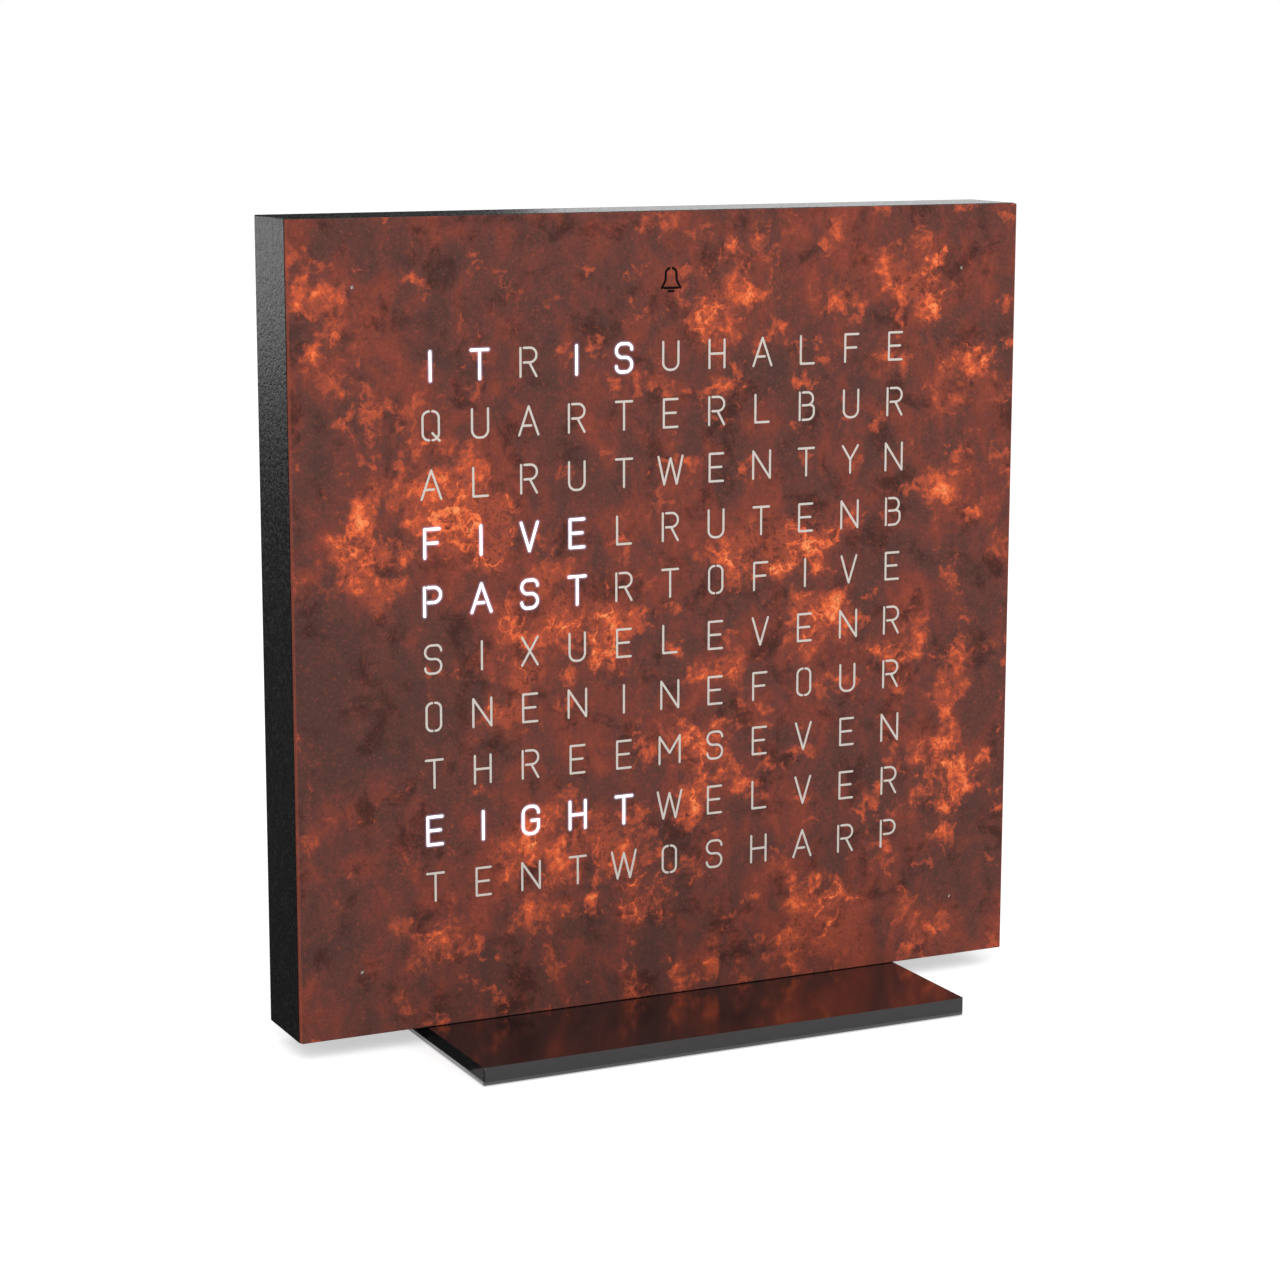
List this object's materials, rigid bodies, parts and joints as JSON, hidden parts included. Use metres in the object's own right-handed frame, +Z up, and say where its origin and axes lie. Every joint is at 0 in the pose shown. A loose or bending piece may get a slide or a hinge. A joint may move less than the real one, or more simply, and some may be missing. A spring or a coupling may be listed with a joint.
{
  "type": "word clock",
  "caption": "Square word clock on a flat foot: letter field behind a patinated steel cover, lit from inside, rear buttons and power inlet.",
  "frame": {"origin": "middle of the footprint, level with the soles of the foot pads", "axes": "+Z up, +X to the viewer's right as the face is read, the face looks along -Y"},
  "size_m": [0.135, 0.063, 0.1383],
  "materials": {
    "rust_steel": "mottled rust and copper patina, matt",
    "black_coated_steel": "black fine-textured satin coating",
    "black_plastic": "fine texture, satin",
    "button": "satin",
    "opal": "opal, lit from behind",
    "diode": "clear epoxy over phosphor",
    "white_board": "white solder mask",
    "green_board": "green solder mask",
    "chip": "moulded epoxy",
    "capacitor": "moulded epoxy",
    "copper": "bare copper foil",
    "brass": "turned",
    "steel": "zinc plated",
    "nickel": "nickel plated",
    "rubber": "matt"
  },
  "bodies": {
    "clock_base": {"diffuser_sheet": "opal", "cover_magnets": "nickel", "light_grid": "black_plastic", "light_board": "white_board", "light_diodes": "diode", "light_board_screws": "steel", "diode_driver_chips": "chip", "board_connector": "chip", "touch_strip": "copper", "touch_tail": "copper", "housing_frame": "black_plastic", "rear_cover": "black_plastic", "rear_cover_screws": "steel", "control_board": "green_board", "control_board_screws": "steel", "processor_chip": "chip", "clock_crystal": "nickel", "supply_capacitors": "capacitor", "coin_cell_holder": "chip", "coin_cell": "nickel", "alarm_buzzer": "chip", "switch_bodies": "nickel", "socket_shell": "nickel", "socket_tongue": "chip", "foot_plate": "black_coated_steel", "foot_screws": "steel", "foot_inserts": "brass", "foot_pads": "rubber"},
    "cover": {"front_cover": "rust_steel", "cover_backing": "opal"},
    "hour_key": {"hour_button": "button", "hour_plunger": "chip"},
    "minute_key": {"minute_button": "button", "minute_plunger": "chip"},
    "alarm_key": {"alarm_button": "button", "alarm_plunger": "chip"},
    "light_key": {"light_button": "button", "light_plunger": "chip"}
  },
  "joints": [
    {"name": "cover_pull", "type": "slide", "parent": "clock_base", "child": "cover", "axis": [0, -1, 0], "range_m": [0, 0.03]},
    {"name": "hour_press", "type": "slide", "parent": "clock_base", "child": "hour_key", "axis": [0, -1, 0], "range_m": [0, 0.0004], "stiffness_N_per_m": 3000, "springref_m": -0.0001},
    {"name": "minute_press", "type": "slide", "parent": "clock_base", "child": "minute_key", "axis": [0, -1, 0], "range_m": [0, 0.0004], "stiffness_N_per_m": 3000, "springref_m": -0.0001},
    {"name": "alarm_press", "type": "slide", "parent": "clock_base", "child": "alarm_key", "axis": [0, -1, 0], "range_m": [0, 0.0004], "stiffness_N_per_m": 3000, "springref_m": -0.0001},
    {"name": "light_press", "type": "slide", "parent": "clock_base", "child": "light_key", "axis": [0, -1, 0], "range_m": [0, 0.0004], "stiffness_N_per_m": 3000, "springref_m": -0.0001}
  ]
}
